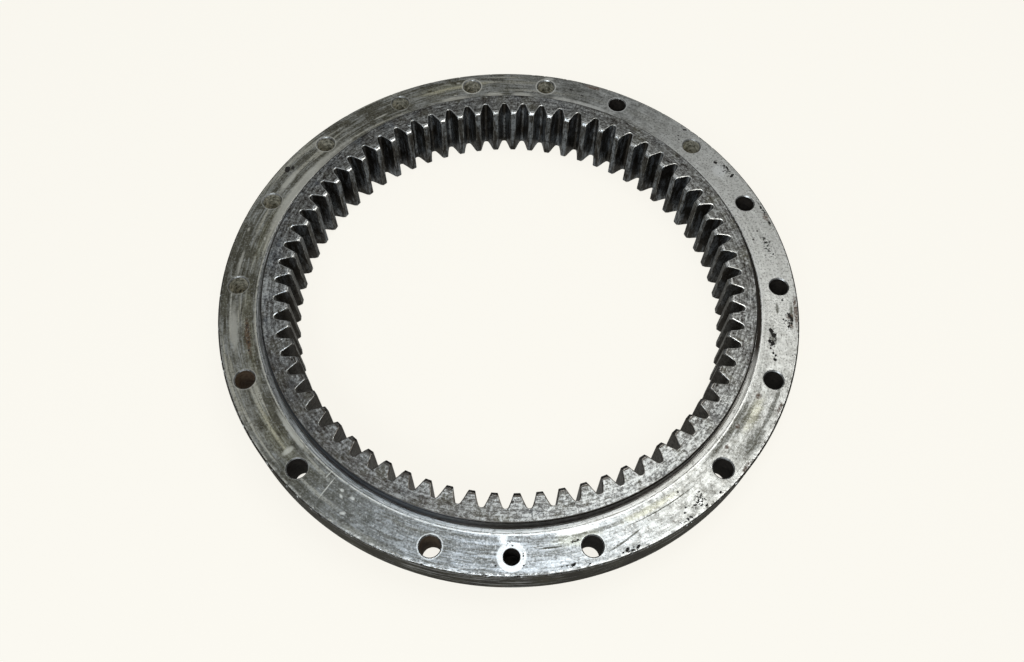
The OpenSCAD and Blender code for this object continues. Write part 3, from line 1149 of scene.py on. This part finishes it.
class RINGGEAR_OT_ring(bpy.types.Operator):
    """Turns, tooths, drills and wears the ring gear."""

    bl_idname = "ringgear.ring"
    bl_label = "Ring gear"

    def execute(self, context):
        sizes, finish = context.scene.ring_sizes, context.scene.ring_finish
        materials = ring_materials(sizes, finish)
        rng = random.Random(SEED)
        around = SIDES_PER_TOOTH * sizes.tooth_count
        ring = turn_profile("worn_ring", blank_profile(sizes), around)
        set_zones(ring, sizes, materials)
        cut_away(ring, gap_cutter(sizes, materials["flank"]))
        dissolve_flats(ring)
        round_edges(ring, sizes, materials["worn_edge"])
        cut_away(ring, all_holes(sizes, materials))
        cut_away(ring, all_wear(sizes, materials, rng), crossing=True)
        make_active(ring)
        bpy.ops.object.shade_smooth_by_angle(angle=SMOOTH_ANGLE)
        keep_crisp(ring, (materials["pit"], materials["chip"]))
        apply_modifier(ring, "Even shading", "WEIGHTED_NORMAL", keep_sharp=True)
        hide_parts("ring_gear")
        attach(ring, "root")
        return {"FINISHED"}


def studio_floor(studio):
    """Pale floor. It shines for the camera and stays dim for the ring, with a faint shadow."""
    deselect_all()
    bpy.ops.mesh.primitive_circle_add(vertices=96, radius=FLOOR_RADIUS, fill_type="NGON")
    floor = bpy.context.object
    floor.name = "floor"
    r = Recipe("Pale floor", Roughness=0.9, Specular_IOR_Level=0.0)
    r.shader.inputs["Base Color"].default_value = (*studio.floor_paint, 1)
    r.shader.inputs["Emission Color"].default_value = (*studio.floor, 1)
    seen = r.node("LightPath", {}).outputs["Is Camera Ray"]
    glow = r.ramp(seen, 0.0, 1.0, studio.floor_glow, studio.floor_shown)
    r.feed(r.shader.inputs["Emission Strength"], glow)
    floor.data.materials.append(r.material)


def studio_world(context, studio):
    """A room that is dark at eye level and lighter overhead. The camera sees the floor's colour."""
    world = bpy.data.worlds.new("Studio")
    context.scene.world = world
    world.use_nodes = True
    wiring = Wiring(world.node_tree)
    split = wiring.node("SeparateXYZ", {0: wiring.node("TexCoord", {}).outputs["Generated"]})
    light = wiring.ramp(split.outputs[2], 0.25, 1.0, studio.room_low, studio.room_high)
    room = wiring.tree.nodes["Background"]
    wiring.feed(room.inputs["Color"], (*studio.room, 1))
    wiring.feed(room.inputs["Strength"], light)
    backdrop = wiring.node("Background", {"Color": (*studio.floor, 1)})
    seen = wiring.node("LightPath", {}).outputs["Is Camera Ray"]
    either = wiring.node("MixShader", {0: seen, 1: room.outputs[0], 2: backdrop.outputs[0]})
    wiring.feed(wiring.tree.nodes["World Output"].inputs[0], either.outputs[0])


def area_light(name, place, size, power, tint):
    light = bpy.data.lights.new(name, "AREA")
    light.shape = "DISK"
    light.size = size
    light.energy = power
    light.color = tint
    holder = bpy.data.objects.new(name, light)
    holder.location = place
    holder.rotation_euler = (LIT_POINT - Vector(place)).to_track_quat("-Z", "Y").to_euler()
    bpy.context.collection.objects.link(holder)


def studio_camera(context, studio):
    data = bpy.data.cameras.new("Camera")
    data.lens = studio.lens
    data.sensor_width = 36
    data.clip_start = 0.01
    camera = bpy.data.objects.new("Camera", data)
    ahead = (Vector(studio.camera_target) - Vector(studio.camera_place)).normalized()
    right = ahead.cross(Vector((0, 0, 1))).normalized()
    up = right.cross(ahead)
    cosine, sine = math.cos(studio.camera_roll), math.sin(studio.camera_roll)
    axes = (right * cosine + up * sine, up * cosine - right * sine, -ahead)
    turn = Matrix(axes).transposed().to_4x4()
    camera.matrix_world = Matrix.Translation(studio.camera_place) @ turn
    bpy.context.collection.objects.link(camera)
    context.scene.camera = camera


class RINGGEAR_OT_studio(bpy.types.Operator):
    """Makes the pale floor, the soft lights and the camera."""

    bl_idname = "ringgear.studio"
    bl_label = "Studio"

    def execute(self, context):
        studio = context.scene.ring_studio
        studio_floor(studio)
        studio_world(context, studio)
        for light in LIGHTS:
            area_light(*light)
        studio_camera(context, studio)
        context.scene.view_settings.view_transform = "Standard"
        return {"FINISHED"}


class RINGGEAR_PT_panel(bpy.types.Panel):
    """Lists the sizes, the colours and the steps."""

    bl_idname = "RINGGEAR_PT_panel"
    bl_label = "Ring gear"
    bl_space_type = "VIEW_3D"
    bl_region_type = "UI"
    bl_category = "Ring gear"

    def draw(self, context):
        scene = context.scene
        for group in (scene.ring_sizes, scene.ring_finish, scene.ring_studio):
            box = self.layout.box()
            for name in group.__annotations__:
                box.prop(group, name)
        self.layout.operator(RINGGEAR_OT_ring.bl_idname)
        self.layout.operator(RINGGEAR_OT_studio.bl_idname)


CLASSES = (
    RingSizes,
    RingFinish,
    RingStudio,
    RINGGEAR_OT_ring,
    RINGGEAR_OT_studio,
    RINGGEAR_PT_panel,
)


def register():
    for made in CLASSES:
        bpy.utils.register_class(made)
    bpy.types.Scene.ring_sizes = PointerProperty(type=RingSizes)
    bpy.types.Scene.ring_finish = PointerProperty(type=RingFinish)
    bpy.types.Scene.ring_studio = PointerProperty(type=RingStudio)


def unregister():
    del bpy.types.Scene.ring_studio
    del bpy.types.Scene.ring_finish
    del bpy.types.Scene.ring_sizes
    for made in reversed(CLASSES):
        bpy.utils.unregister_class(made)


def main():
    register()
    bpy.ops.ringgear.ring()
    bpy.ops.ringgear.studio()


if __name__ == "__main__":
    main()
